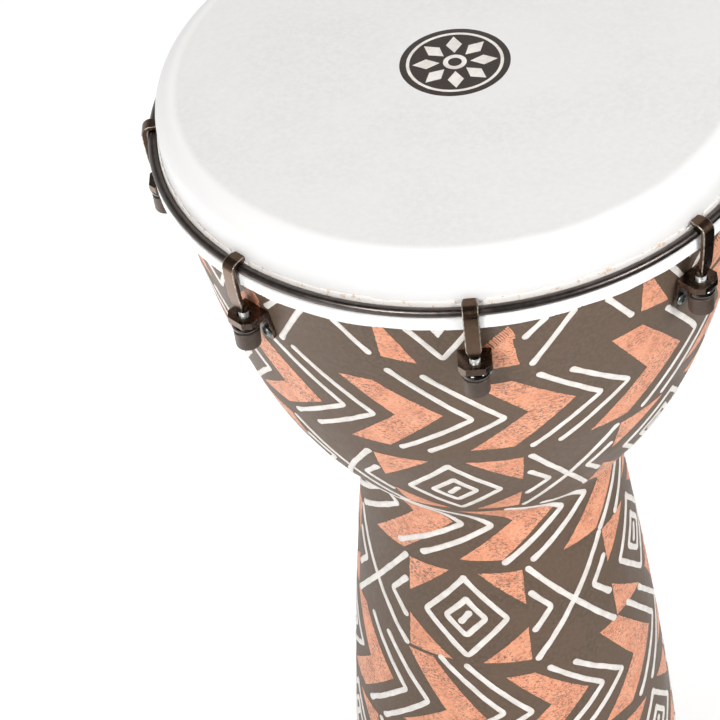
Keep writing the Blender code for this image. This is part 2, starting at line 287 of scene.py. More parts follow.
def with_modifiers(name, mesh, build):
    """A mesh after the modifiers that build(object) adds."""
    thing = added(name, mesh)
    mesh.shade_smooth()
    helpers = build(thing)
    even = thing.modifiers.new("even", "WEIGHTED_NORMAL")
    even.weight = 60
    bpy.context.view_layer.update()
    graph = bpy.context.evaluated_depsgraph_get()
    result = thing.evaluated_get(graph)
    made = bpy.data.meshes.new_from_object(result, preserve_all_data_layers=True, depsgraph=graph)
    for spare in [thing, *helpers]:
        bpy.data.objects.remove(spare)
    return made


def boolean(thing, mesh, operation, where=Matrix()):
    """Cut or join with a mesh; returns the helper object."""
    helper = added("helper", mesh, where)
    made = thing.modifiers.new(operation.lower(), "BOOLEAN")
    made.operation = operation
    made.solver = "EXACT"
    made.object = helper
    return helper


def soften(thing, width, material=-1):
    """Round every sharp edge, in its own material if one is given."""
    made = thing.modifiers.new("soften", "BEVEL")
    made.width = width
    made.segments = 3
    made.limit_method = "ANGLE"
    made.angle_limit = math.radians(35)
    made.material = material


def piece(name, mesh, finishes, body, stands_for=(), where=Matrix()):
    """A piece of the drum that rides on a CAD body."""
    thing = added(name, mesh, where)
    bpy.context.view_layer.update()
    if not mesh.materials:
        for finish in finishes:
            mesh.materials.append(finish)
    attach(thing, body)
    if stands_for:
        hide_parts(*stands_for)
    return thing


# Materials

class Nodes:
    """A node tree whose nodes are made and linked in one step."""

    def __init__(self, tree):
        self.tree = tree

    def put(self, value, target):
        """Set an input socket to a value, or link it to an output socket."""
        if isinstance(value, bpy.types.NodeSocket):
            self.tree.links.new(value, target)
        else:
            target.default_value = value

    def node(self, kind, **inputs):
        """A new node, with inputs named by their sockets' names."""
        made = self.tree.nodes.new("ShaderNode" + kind)
        for name, value in inputs.items():
            self.put(value, made.inputs[name.replace("_", " ")])
        return made

    def step(self, value, low, high, out_low=0.0, out_high=1.0):
        """A value brought from one range to another, clamped, with a soft ease."""
        made = self.node("MapRange", Value=value, From_Min=low, From_Max=high)
        self.put(out_low, made.inputs["To Min"])
        self.put(out_high, made.inputs["To Max"])
        made.interpolation_type = "SMOOTHSTEP"
        return made.outputs["Result"]

    def mix(self, factor, *colours):
        """Two colours mixed by a socket."""
        made = self.node("Mix", Factor=factor)
        made.data_type = "RGBA"
        for socket, colour in zip((s for s in made.inputs if s.type == "RGBA"), colours):
            self.put((*colour, 1.0) if isinstance(colour, tuple) else colour, socket)
        return next(s for s in made.outputs if s.type == "RGBA")


class Finish(Nodes):
    """A Principled material, built node by node from object coordinates in metres."""

    def __init__(self, name, metallic=0.0, specular=0.5):
        self.material = bpy.data.materials.new(name)
        self.material.use_nodes = True
        super().__init__(self.material.node_tree)
        self.shader = self.tree.nodes["Principled BSDF"].inputs
        self.shader["Metallic"].default_value = metallic
        self.shader["Specular IOR Level"].default_value = specular
        self.place = self.node("TexCoord").outputs["Object"]

    def noise(self, scale, detail=4.0, rough=0.55, stretch=None, distortion=0.0):
        """A noise value, at a scale in features to the metre."""
        place = self.place
        if stretch:
            place = self.node("Mapping", Scale=stretch, Vector=place).outputs["Vector"]
        made = self.node("TexNoise", Vector=place, Scale=scale, Detail=detail, Roughness=rough)
        self.put(distortion, made.inputs["Distortion"])
        return made.outputs["Fac"]

    def math(self, operation, *values):
        """A math node on sockets or numbers."""
        made = self.node("Math")
        made.operation = operation
        for value, socket in zip(values, made.inputs):
            self.put(value, socket)
        return made.outputs["Value"]

    def radius(self):
        """Distance from the piece's Z axis."""
        split = self.node("SeparateXYZ", Vector=self.place).outputs
        squares = [self.math("MULTIPLY", split[axis], split[axis]) for axis in "XY"]
        return self.math("SQRT", self.math("ADD", *squares))

    def colour(self, value):
        """Use a colour."""
        self.put(value, self.shader["Base Color"])

    def roughness(self, value):
        """Use a roughness."""
        self.put(value, self.shader["Roughness"])

    def glow(self, strength):
        """Give off white light."""
        self.put((1.0, 1.0, 1.0, 1.0), self.shader["Emission Color"])
        self.put(strength, self.shader["Emission Strength"])

    def bump(self, height, depth):
        """Raise the surface by a value; depth is in metres."""
        made = self.node("Bump", Strength=1.0, Distance=depth, Height=height)
        self.put(made.outputs["Normal"], self.shader["Normal"])


MIDRANGE = 0.3, 0.7  # where most of a noise's values fall


def mottled(name, dark, light, tone, reach, rough, grain, depth, **shader):
    """A material in two tones: tone and grain are noises, and reach is the part of the tone that is used."""
    made = Finish(name, **shader)
    value = made.step(made.noise(*tone), *reach)
    made.colour(made.mix(value, dark, light))
    made.roughness(made.step(value, 0.0, 1.0, *rough))
    made.bump(made.noise(*grain), depth)
    return made.material


def shades(plate, low, high):
    """A darker and a lighter shade of a colour."""
    return [tuple(share * value for value in plate) for share in (low, high)]


def nickel_plated(name, plate, roughness):
    """Dark nickel plate, a little uneven."""
    return mottled(name, *shades(plate, 0.88, 1.12), (240, 3, 0.5), MIDRANGE,
                   (roughness - 0.03, roughness + 0.04), (900, 2, 0.5), 0.000003, metallic=1.0)


def zinc_plated(name, plate, metallic):
    """Zinc plate with a slight bloom."""
    return mottled(name, *shades(plate, 0.90, 1.08), (600, 5, 0.65), MIDRANGE,
                   (0.38, 0.54), (1800, 3, 0.5), 0.00002, metallic=metallic)


def edge_highlight_steel(name, dark, light):
    """Pale mottled steel for a rounded edge: a painted highlight along the edge, drawn as plate scuffed
    through to the steel.
    """
    return mottled(name, dark, light, (330, 4, 0.65), (0.36, 0.60),
                   (0.36, 0.48), (1200, 3, 0.5), 0.000008, metallic=1.0)


def shell_finish():
    """Taupe-brown satin lacquer, faintly mottled, with a fine orange peel."""
    made = Finish("painted_shell", specular=0.25)
    broad = made.step(made.noise(38, 5, 0.6), 0.35, 0.65)
    fine = made.step(made.noise(420, 4, 0.65), 0.35, 0.68)
    base = made.mix(broad, (0.104, 0.069, 0.046), (0.128, 0.085, 0.057))
    made.colour(made.mix(fine, base, (0.140, 0.095, 0.065)))
    made.roughness(made.step(broad, 0.0, 1.0, 0.46, 0.56))
    made.bump(made.noise(900, 3, 0.5), 0.00003)
    return made.material


def orange_finish():
    """Sponged peach-orange paint, mottled, and worn through to the brown in flecks."""
    made = Finish("orange_paint")
    tone = made.step(made.noise(90, 5, 0.6), 0.3, 0.7)
    paint = made.mix(tone, (0.76, 0.300, 0.165), (0.86, 0.385, 0.225))
    sponge = made.step(made.noise(430, 5, 0.68, stretch=(1.0, 1.0, 1.7), distortion=0.4), 0.47, 0.61)
    patchy = made.step(made.noise(75, 3, 0.5), 0.36, 0.62, 0.20, 0.90)
    paint = made.mix(made.math("MULTIPLY", sponge, patchy), paint, (0.36, 0.155, 0.095))
    flecks = made.noise(640, 4, 0.64, stretch=(1.0, 1.0, 1.6), distortion=0.6)
    areas = made.step(made.noise(48, 2, 0.5), 0.42, 0.58, 0.22, 1.0)
    wear_and_highlight = made.math("MULTIPLY", made.step(flecks, 0.53, 0.61, 0.0, 0.95), areas)
    made.colour(made.mix(wear_and_highlight, paint, (0.150, 0.090, 0.062)))
    made.roughness(made.step(flecks, 0.3, 0.7, 0.42, 0.62))
    made.bump(flecks, 0.00012)
    return made.material


def membrane_finish():
    """Matte synthetic head: grey-white over the air, whiter where it bears on the shell's edge."""
    made = Finish("membrane")
    fibre = made.step(made.noise(330, 6, 0.7), 0.25, 0.75)
    cloud = made.step(made.noise(14, 3, 0.5), 0.3, 0.7)
    film = made.mix(cloud, (0.700, 0.688, 0.678), (0.745, 0.735, 0.726))
    film = made.mix(fibre, film, (0.770, 0.762, 0.755))
    waver = made.math("MULTIPLY", made.noise(24, 2, 0.5), 0.003)
    edge = made.step(made.math("ADD", made.radius(), waver), 0.1462, 0.1512)
    made.colour(made.mix(edge, film, (0.850, 0.843, 0.836)))
    made.roughness(made.step(fibre, 0.0, 1.0, 0.48, 0.60))
    made.bump(made.noise(1500, 4, 0.6), 0.000025)
    return made.material


# The shell, head and hoops

def shell_levels():
    """Heights down the wall, closest near the neck."""
    bowl = [BOWL_TOP_Z + (NECK_Z - BOWL_TOP_Z) * share for share in between(0.0, 0.86, 34)]
    neck = [BOWL_TOP_Z + (NECK_Z - BOWL_TOP_Z) * share for share in between(0.875, 1.12, 22)]
    pipe = between(neck[-1] - 0.006, FOOT_FLOOR + GAP, 44)
    return bowl + neck + pipe


def make_shell(paint, bare):
    """The goblet: round bearing edge outside, a moulded wall inside."""
    levels = shell_levels()
    outer = arc(EDGE_X, EDGE_TOP_Z - EDGE_ROUND, EDGE_ROUND, 90, 0, 12)
    outer += [(shell_radius(z), z) for z in levels]
    inner = [(shell_radius(levels[-1]) - WALL, levels[-1])]
    inner += [inside_point(z, WALL) for z in reversed(levels[1:-1])]
    inner.append((SHELL_TOP_RADIUS - RIM_WALL, HOOP_Z))
    inner_x = SHELL_TOP_RADIUS - RIM_WALL + EDGE_INNER_ROUND
    inner += arc(inner_x, EDGE_TOP_Z - EDGE_INNER_ROUND, EDGE_INNER_ROUND, 180, 90, 6)
    mesh = turned("shell", outer + inner)
    mesh.materials.append(paint)
    mesh.materials.append(bare)
    for face in mesh.polygons:
        face.material_index = int(face.index >= (len(outer) - 1) * TURN_STEPS)
    piece("shell_painted", mesh, (), "shell_body", ("shell",))


def make_head(finish):
    """The membrane: flat, over the bearing edge and down behind the hoops."""
    near = EDGE_ROUND + GAP
    centre_z = EDGE_TOP_Z - EDGE_ROUND
    low_z = HOOP_Z - COLLAR_DROP
    outer = [(x, HEIGHT) for x in between(0.0, EDGE_X - 0.004, 16)]
    outer += arc(EDGE_X, centre_z, near + SKIN, 90, 0, 14)
    outer += [(EDGE_X + near + SKIN, z) for z in between(centre_z - 0.006, low_z, 4)]
    inner = [(EDGE_X + near, low_z)] + arc(EDGE_X, centre_z, near, 0, 90, 14)
    inner += [(x, HEIGHT - SKIN) for x in between(EDGE_X - 0.004, 0.0, 8)]
    mesh = turned("head", outer + inner, closed=False)
    piece("head_membrane", mesh, (finish,), "shell_body", ("head_skin",))


def along_rim(angle, where):
    """The way round the flesh hoop from one angle to another, at most half a turn either way."""
    return ((angle - where + math.pi) % (2 * math.pi) - math.pi) * FLESH_OUTER


def crease_depth(angle, creases):
    """How far the lapped band is drawn in by its creases at an angle."""
    return sum(deep * math.exp(-(along_rim(angle, where) / width) ** 2) for where, width, deep in creases)


def make_lapped_band(finish):
    """The flesh hoop with the head lapped round it: a soft band with creases and a stepped lower edge."""
    spots = random.Random(11)
    creases = [(spots.uniform(0, 2 * math.pi), spots.uniform(0.0003, 0.0008), spots.uniform(0.00015, 0.00050))
               for _ in range(72)]
    steps = [(spots.uniform(0, 2 * math.pi), spots.uniform(-0.00045, 0.00045)) for _ in range(26)]
    top = -GAP
    low = top - FLESH_HEIGHT
    soft = 0.0013
    section = [(FLESH_INNER, top), (FLESH_OUTER - soft, top)]
    section += arc(FLESH_OUTER - soft, top - soft, soft, 90, 20, 4)
    section += [(FLESH_OUTER, z) for z in between(top - 2 * soft, low + 2 * soft, 4)]
    section += arc(FLESH_OUTER - soft, low + soft, soft, -20, -90, 4)
    section += [(FLESH_INNER, low)]

    def shift(x, z, angle):
        outward = (x - FLESH_INNER) / (FLESH_OUTER - FLESH_INNER)
        around = Vector((math.cos(angle), math.sin(angle), 0.0))
        uneven = 0.00035 * noise.noise(around * 6.0) + 0.00015 * noise.noise(around * 19.0)
        for where, step in steps:
            uneven += step * math.exp(-(along_rim(angle, where) / 0.009) ** 4)
        lower = max(0.0, (top - z) / FLESH_HEIGHT - 0.5) * 2
        flat = 0.0002 * noise.noise(around * 11.0)
        return x + (flat - crease_depth(angle, creases)) * outward, z + uneven * lower

    mesh = turned("band", section, FINE_TURN_STEPS, shift=shift)
    where = Matrix.Translation((0.0, 0.0, HOOP_Z))
    piece("lapped_band", mesh, (finish,), "rim", ("flesh_hoop",), where)


def make_cut_edge(finish):
    """The trimmed end of the lapped head, a ragged lip that leans on the head inside the tension hoop."""
    inner, top_outer, low_outer = 0.15872, 0.15950, 0.15985
    tabs = random.Random(23)
    cuts = [(tabs.uniform(0, 2 * math.pi), tabs.uniform(0.0015, 0.0045), tabs.uniform(-0.0012, 0.0012))
            for _ in range(64)]

    def height(angle):
        around = Vector((math.cos(angle), math.sin(angle), 0.0))
        rise = 0.0066 + 0.0006 * noise.noise(around * 9.0) + 0.0003 * noise.noise(around * 60.0)
        for where, width, step in cuts:
            off = abs((angle - where + math.pi) % (2 * math.pi) - math.pi) * low_outer
            rise += step * min(max((width - off) / 0.0006, 0.0), 1.0)
        lug = angle * LUG_COUNT / (2 * math.pi)
        off = abs(lug - round(lug)) * 2 * math.pi / LUG_COUNT * low_outer
        under_strap = min(max((0.0075 - off) / 0.0015, 0.0), 1.0)
        return rise + (0.0046 - rise) * under_strap

    def shift(x, z, angle):
        lean = 0.00008 * abs(noise.noise(Vector((math.cos(angle), math.sin(angle), 1.0)) * 23.0))
        return x + lean * z, height(angle) * z

    section = [(inner, 1.0), (inner + 0.0003, 1.03), (top_outer, 1.0), (top_outer + 0.0001, 0.93)]
    section += [(low_outer, 0.4), (low_outer, 0.0), (inner, 0.0), (inner, 0.5)]
    mesh = turned("cut_edge", section, FINE_TURN_STEPS, shift=shift)
    where = Matrix.Translation((0.0, 0.0, HOOP_Z))
    piece("lapped_cut_edge", mesh, (finish,), "rim", (), where)


def make_hoop(finish):
    """The round bar that pulls the head down."""
    bar = HOOP_BAR / 2
    section = arc(HOOP_RADIUS - bar, bar, bar, 90, -255, 23)
    mesh = turned("hoop", section, 360)
    where = Matrix.Translation((0.0, 0.0, HOOP_Z))
    piece("tension_hoop_bar", mesh, (finish,), "rim", ("tension_hoop",), where)


def make_foot(finish):
    """The rubber edging, ribbed outside and treaded beneath."""
    outer = shell_radius(0.0) + GAP + FOOT_LEG
    slot_outer = outer - FOOT_LEG
    slot_inner = shell_radius(FOOT_HEIGHT) - WALL - 2 * GAP
    inner = slot_inner - FOOT_LEG
    rib = 0.0005
    section = arc(outer - 0.001, FOOT_HEIGHT - 0.001, 0.001, 90, 0, 4)
    for level in (0.0088, 0.0064, 0.0040):
        section += [(outer, level + 0.0006), (outer - rib, level + 0.0002), (outer - rib, level - 0.0002)]
        section.append((outer, level - 0.0006))
    section += arc(outer - 0.001, 0.001, 0.001, 0, -90, 4)
    treads = between(outer - 0.0020, inner + 0.0020, 5)
    for x in treads:
        section += [(x + 0.0004, 0.0), (x + 0.0002, 0.0005), (x - 0.0002, 0.0005), (x - 0.0004, 0.0)]
    section += arc(inner + 0.001, 0.001, 0.001, -90, -180, 4)
    section += [(inner, FOOT_HEIGHT - 0.0006), (inner + 0.0006, FOOT_HEIGHT), (slot_inner, FOOT_HEIGHT)]
    section += [(slot_inner, FOOT_FLOOR), (slot_outer, FOOT_FLOOR), (slot_outer, FOOT_HEIGHT)]
    mesh = turned("foot", section)
    piece("foot_edging", mesh, (finish,), "shell_body", ("foot_ring",))


# The hardware

def strap_path():
    """The strap's middle line: over the hoop, down outside it and in to the rod."""
    reach = HOOP_BAR / 2 + GAP + STRAP_THICKNESS / 2
    top = HOOP_BAR / 2 + reach
    path = [(x, top) for x in between(HOOK_END_X, HOOK_X - 0.0006, 4)]
    path += arc(HOOK_X, HOOP_BAR / 2, reach, 90, 0, 14)
    outside = HOOK_X + reach
    inward = outside - ROD_X - STRAP_END_OUT
    for share in between(0.0, 1.0, 22):
        z = STRAP_BEND_Z + (STRAP_END_Z - STRAP_BEND_Z) * share
        path.append((outside - inward * (0.4 * share + 0.6 * share ** 4), z))
    return path


def strap_width(z):
    """Full width, drawn in to a blunt point over the rod."""
    taper = min(max((STRAP_POINT_Z - z) / STRAP_POINT_LENGTH, 0.0), 1.0)
    return STRAP_WIDTH * (1.0 - STRAP_POINT_LOSS * taper ** 1.15)


def strap_mesh(black, wear_and_highlight):
    """The hook: a rectangular section with rolled edges, swept along its path, and a boss on the rod."""
    path = strap_path()
    rings = []
    last = len(path) - 1
    for i, (x, z) in enumerate(path):
        ahead, behind = path[min(i + 1, last)], path[max(i - 1, 0)]
        along = Vector((ahead[0] - behind[0], 0.0, ahead[1] - behind[1])).normalized()
        outward = Vector((-along.z, 0.0, along.x))
        half = strap_width(z) / 2 - 0.0003 * max(0, 2 - i)
        section = rounded_box_outline(STRAP_THICKNESS / 2, half, STRAP_ROLL, STRAP_CORNER)
        middle = Vector((x - ROD_X, 0.0, z))
        rings.append([middle + outward * a + Vector((0.0, b, 0.0)) for a, b in section])
    head = end_cap(rings[0], rings[1])
    tail = end_cap(rings[-1], rings[-2])
    mesh = rings_mesh("strap", list(reversed(head)) + rings + tail, False, 60)
    mesh.materials.append(black)
    mesh.materials.append(wear_and_highlight)
    # The outer rolled edges take the second material, a painted highlight along them.
    mark_highlight_edges(mesh, len(rings[0]))
    soft = 0.0006
    boss = [(0.0, BOSS_TOP_Z)] + arc(BOSS_RADIUS - soft, BOSS_TOP_Z - soft, soft, 90, 0, 4)
    boss += arc(BOSS_RADIUS - soft, STRAP_END_Z + soft, soft, 0, -90, 4) + [(0.0, STRAP_END_Z)]

    stud = turned("boss", boss, 40, closed=False)
    stud.materials.append(black)

    def build(thing):
        return [boolean(thing, stud, "UNION")]

    return with_modifiers("strap", mesh, build)


def mark_highlight_edges(mesh, around):
    """Give the two outer rolled edges of a swept strap its second material, a painted highlight."""
    for face in mesh.polygons:
        if len(face.vertices) == 4:
            places = [(v - 1) % around for v in face.vertices]
            corner, step = divmod(min(places), STRAP_CORNER + 1)
            rolled = max(places) - min(places) == 1 and step < STRAP_CORNER
            face.material_index = int(rolled and corner in (0, 3))


def end_cap(ring, before):
    """Rings that round off the end of a sweep, out to its tip."""
    middle = sum(ring, Vector()) / len(ring)
    away = (middle - sum(before, Vector()) / len(before)).normalized()
    cap = []
    for turn in (30, 60, 90):
        out = STRAP_ROLL * math.sin(math.radians(turn))
        size = 1.0 - 0.22 * (1.0 - math.cos(math.radians(turn)))
        cap.append([middle + away * out + (point - middle) * size for point in ring])
    return cap + [[middle + away * STRAP_ROLL]]


def rod_mesh():
    """The threaded rod: a helical M6 ridge that runs out at both ends."""
    around, to_the_pitch = 28, 6
    count = round((ROD_TOP_Z - ROD_BOTTOM_Z) / THREAD_PITCH * to_the_pitch)
    rings = [[(0.0, 0.0, ROD_TOP_Z)]]
    for level in range(count + 1):
        z = ROD_TOP_Z - (ROD_TOP_Z - ROD_BOTTOM_Z) * level / count
        from_end = min(level, count - level) / to_the_pitch
        ring = []
        for i in range(around):
            turn = i / around
            wave = abs(((z / THREAD_PITCH + turn) % 1.0) * 2 - 1)
            radius = ROD_RADIUS - THREAD_DEPTH * wave - 0.0007 * max(0.0, 1.0 - from_end)
            angle = 2 * math.pi * turn
            ring.append((radius * math.cos(angle), radius * math.sin(angle), z))
        rings.append(ring)
    rings.append([(0.0, 0.0, ROD_BOTTOM_Z)])
    return rings_mesh("rod", rings, False, 80)


def make_claws(black, wear_and_highlight, zinc):
    """The eight hooks, each a black strap with a painted highlight along its outer edges, on a bright
    threaded rod.
    """
    strap, rod = strap_mesh(black, wear_and_highlight), rod_mesh()
    for i in range(LUG_COUNT):
        number = i + 1
        piece(f"claw_{number}_strap", strap, (), "rim", (f"claw_{number}",), lug_place(i))
        piece(f"claw_{number}_rod", rod, (zinc,), "rim", (), lug_place(i))


def bracket_mesh(black, bracket_highlight):
    """A plate that follows the shell and a chamfered shelf in one, its edges rounded, with a painted
    highlight on the rounding.
    """
    here = Matrix.Translation((-ROD_X, 0.0, -HOOP_Z))
    half = BRACKET_WIDTH / 2
    corner = 0.003
    lie_flat = Matrix.Rotation(math.pi / 2, 4, "Y")
    top = PLATE_TOP - PLATE_LAP
    outline = [(-top, half), (-top, -half)]
    outline += [(PLATE_BOTTOM - corner + x, y) for x, y in arc(0.0, -half + corner, corner, -90, 0, 6)]
    outline += [(PLATE_BOTTOM - corner + x, y) for x, y in arc(0.0, half - corner, corner, 0, 90, 6)]
    plate = prism("plate", outline, GAP, GAP + PLATE_THICKNESS)
    plate.transform(here @ seat() @ lie_flat)
    back = shell_radius(HOOP_Z + SHELF_Z) + GAP - ROD_X
    front = SHELF_FRONT_X - ROD_X
    shelf = [(back, -half), (front - BRACKET_CHAMFER, -half), (front, -half + BRACKET_CHAMFER)]
    shelf += [(front, half - BRACKET_CHAMFER), (front - BRACKET_CHAMFER, half), (back, half)]
    shelf_low = SHELF_Z - SHELF_THICKNESS

    def build(thing):
        helpers = [boolean(thing, prism("shelf", shelf, shelf_low, SHELF_Z), "UNION")]
        hole = prism("hole", circle(SHELF_HOLE, 40), SHELF_Z - 0.01, SHELF_Z + 0.01)
        helpers.append(boolean(thing, hole, "DIFFERENCE"))
        for place in screw_places():
            drill = prism("drill", circle(SCREW_HOLE, 24), -WALL, WALL)
            helpers.append(boolean(thing, drill, "DIFFERENCE", here @ place))
        # The rounding takes the second material, a painted highlight along every edge.
        soften(thing, 0.0004, 1)
        return helpers

    plate.materials.append(black)
    plate.materials.append(bracket_highlight)
    return with_modifiers("bracket", plate, build)


def make_brackets(black, bracket_highlight):
    """The eight lug brackets."""
    mesh = bracket_mesh(black, bracket_highlight)
    for i in range(LUG_COUNT):
        number = i + 1
        names = (f"bracket_{number}",)
        piece(f"lug_bracket_{number}", mesh, (), "shell_body", names, lug_place(i))


def hexagon(across_flats, count):
    """Points round a hexagon, as many as a circle's."""
    apothem = across_flats / 2
    points = []
    for i in range(count):
        angle = 2 * math.pi * i / count
        off = (angle + math.pi / 6) % (math.pi / 3) - math.pi / 6
        radius = apothem / math.cos(off)
        points.append((radius * math.cos(angle), radius * math.sin(angle)))
    return points


def nut_mesh():
    """The tuning nut: glossy domed collar, tapered matte sleeve, hex socket and bore."""
    count = 60

    def level(points, z):
        return [(x, y, z) for x, y in points]

    def round_at(radius, z):
        return level(circle(radius, count), z)

    dome = 0.0012
    bulge, half = 0.0024, NUT_COLLAR / 2
    collar = []
    for turn in between(90, -68, 14):
        across, up = math.cos(math.radians(turn)), math.sin(math.radians(turn))
        collar.append((NUT_COLLAR_RADIUS - bulge + bulge * across, half * up - half))
    collar.append((NUT_RADIUS - 0.0011, -NUT_COLLAR - 0.0002))
    sleeve = [(NUT_RADIUS - 0.0003, -NUT_COLLAR - 0.0004), (NUT_RADIUS, -NUT_COLLAR - 0.0008)]
    sleeve.append((NUT_RADIUS - 0.0001, -NUT_LENGTH * 0.6))
    sleeve += arc(NUT_RADIUS - 0.0002 - dome, dome - NUT_LENGTH, dome, 0, -90, 5)
    rings = [round_at(r, z) for r, z in collar]
    seam = len(rings) - 1
    rings += [round_at(r, z) for r, z in sleeve]
    socket = hexagon(NUT_SOCKET, count)
    wide = hexagon(NUT_SOCKET + 0.0006, count)
    rings += [level(wide, -NUT_LENGTH), level(socket, -NUT_LENGTH + 0.0003)]
    step = SOCKET_DEPTH - NUT_LENGTH
    rings += [level(socket, step), round_at(NUT_BORE - 0.0003, step), round_at(NUT_BORE, step + 0.0003)]
    rings += [round_at(NUT_BORE, -0.0004), round_at(NUT_BORE + 0.0004, 0.0)]
    return rings_mesh("nut", rings, True, 35), seam * count


def make_nuts(gloss, matte):
    """The eight tuning nuts, each turning on its own body."""
    mesh, seam = nut_mesh()
    mesh.materials.append(gloss)
    mesh.materials.append(matte)
    for face in mesh.polygons:
        face.material_index = int(face.index >= seam)
    under = Matrix.Translation((0.0, 0.0, SHELF_Z - SHELF_THICKNESS - GAP))
    for i in range(LUG_COUNT):
        body, node = f"nut_{i + 1}", f"tuning_nut_{i + 1}"
        piece(f"{node}_turned", mesh, (), body, (node,), lug_place(i) @ under)


def screw_mesh():
    """A button-head screw with a hex recess, its shank and a pointed end."""
    count = 48
    under = 2 * GAP + PLATE_THICKNESS
    top = under + SCREW_HEAD_HEIGHT
    recess = top - 0.0011
    end = -WALL - 3 * GAP - BACKING_THICKNESS - 0.0015
    socket = hexagon(SCREW_SOCKET, count)
    rings = [[(0.0, 0.0, recess - 0.0002)], [(x, y, recess) for x, y in socket]]
    rings += [[(x, y, top - 0.0001) for x, y in socket]]
    rings += [[(x * 1.12, y * 1.12, top) for x, y in socket]]
    profile = [(SCREW_HEAD * 0.55, top - 0.00005), (SCREW_HEAD * 0.78, top - 0.0003)]
    profile += [(SCREW_HEAD * 0.93, top - 0.0007), (SCREW_HEAD, under + 0.0005), (SCREW_HEAD, under + 0.0001)]
    profile += [(SCREW_HEAD - 0.0001, under), (SCREW_SHANK, under), (SCREW_SHANK, end + 0.0005)]
    profile += [(SCREW_SHANK - 0.0005, end)]
    rings += [[(x, y, z) for x, y in circle(radius, count)] for radius, z in profile]
    rings.append([(0.0, 0.0, end)])
    return rings_mesh("screw", rings, False, 35)


def make_screws(zinc):
    """Two screws to a bracket."""
    mesh = screw_mesh()
    for i in range(LUG_COUNT):
        for side, place in zip(("left", "right"), screw_places()):
            node = f"bracket_screw_{i + 1}_{side}"
            piece(f"{node}_button", mesh, (zinc,), "shell_body", (node,), lug_turn(i) @ place)


def make_backing_plates(zinc):
    """The tapped plates inside the shell."""
    half = BRACKET_WIDTH / 2
    near = -WALL - 3 * GAP
    lie_flat = Matrix.Rotation(math.pi / 2, 4, "Y")
    outline = rounded_box_outline(BACKING_HEIGHT / 2, half, 0.0018)
    blank = prism("backing", outline, near - BACKING_THICKNESS, near)
    blank.transform(lie_flat)

    def build(thing):
        helpers = []
        for place in screw_places():
            drill = prism("drill", circle(SCREW_HOLE, 24), -4 * WALL, WALL)
            helpers.append(boolean(thing, drill, "DIFFERENCE", seat().inverted() @ place))
        soften(thing, 0.0004)
        return helpers

    mesh = with_modifiers("backing", blank, build)
    for i in range(LUG_COUNT):
        node = f"backing_plate_{i + 1}"
        piece(f"{node}_tapped", mesh, (zinc,), "shell_body", (node,), lug_turn(i) @ seat())


# The painted pattern. A motif is drawn flat, in millimetres: across, from left to right as it is seen
# from outside, and up. A row wraps its motifs round the shell at the row's own radius.

class Paint:
    """Everything painted in one colour, gathered as a single mesh."""

    def __init__(self):
        self.points = []
        self.faces = []

    def add(self, points, faces):
        """Add some faces, given with their own points."""
        first = len(self.points)
        self.points += points
        self.faces += [tuple(first + i for i in face) for face in faces]

    def mesh(self, name):
        """The whole as a mesh."""
        made = bpy.data.meshes.new(name)
        made.from_pydata(self.points, [], self.faces)
        made.shade_smooth()
        made.set_sharp_from_angle(angle=math.radians(60))
        return made


class Row:
    """One band of the pattern."""

    def __init__(self, middle, repeats, start_deg, stroke):
        self.middle = middle
        self.repeats = repeats
        self.start = math.radians(start_deg)
        self.stroke = stroke
        self.radius = shell_radius(middle)

    def on_shell(self, across, up, repeat, rise):
        """The point on the shell for a place in a motif, in metres, a little above the surface."""
        angle = self.start + 2 * math.pi * repeat / self.repeats + across / self.radius
        z = self.middle + up
        slope = shell_slope(z)
        length = math.hypot(1.0, slope)
        radius = shell_radius(z) + rise / length
        return radius * math.cos(angle), radius * math.sin(angle), z - rise * slope / length


def rounded_path(points, radius, spacing):
    """A polyline with its corners rounded, as evenly spaced points."""
    dense = [Vector(points[0])]
    for before, corner, after in zip(points, points[1:], points[2:]):
        a, b, c = Vector(before), Vector(corner), Vector(after)
        cut = min(radius, (a - b).length / 2, (c - b).length / 2)
        start, end = b + (a - b).normalized() * cut, b + (c - b).normalized() * cut
        for t in between(0.0, 1.0, 6):
            dense.append(start.lerp(b, t).lerp(b.lerp(end, t), t))
    dense.append(Vector(points[-1]))
    path = []
    for a, b in zip(dense, dense[1:]):
        steps = max(1, round((b - a).length / spacing))
        path += [a.lerp(b, i / steps) for i in range(steps)]
    return path + [dense[-1]]


def stroke_outline(points, width, seed):
    """The middle points of a brushed line, each with its half width and its unit side vector."""
    path = rounded_path([(x / 1000, y / 1000) for x, y in points], 0.6 * width, 0.0016)
    walked = [0.0]
    for a, b in zip(path, path[1:]):
        walked.append(walked[-1] + (b - a).length)
    whole = walked[-1]
    made = []
    for i, point in enumerate(path):
        ahead, behind = path[min(i + 1, len(path) - 1)], path[max(i - 1, 0)]
        along = (ahead - behind).normalized()
        side = Vector((-along.y, along.x))
        place = Vector((walked[i] * 90, seed * 7.3, 0.0))
        wobble = 0.00035 * noise.noise(place)
        swell = 1.0 + 0.13 * noise.noise(place * 1.7 + Vector((0.0, 0.0, 3.0)))
        from_end = min(walked[i], whole - walked[i])
        swell += 0.18 * max(0.0, 1.0 - from_end / (1.5 * width))
        made.append((point + side * wobble, along, side, width / 2 * swell))
    return made


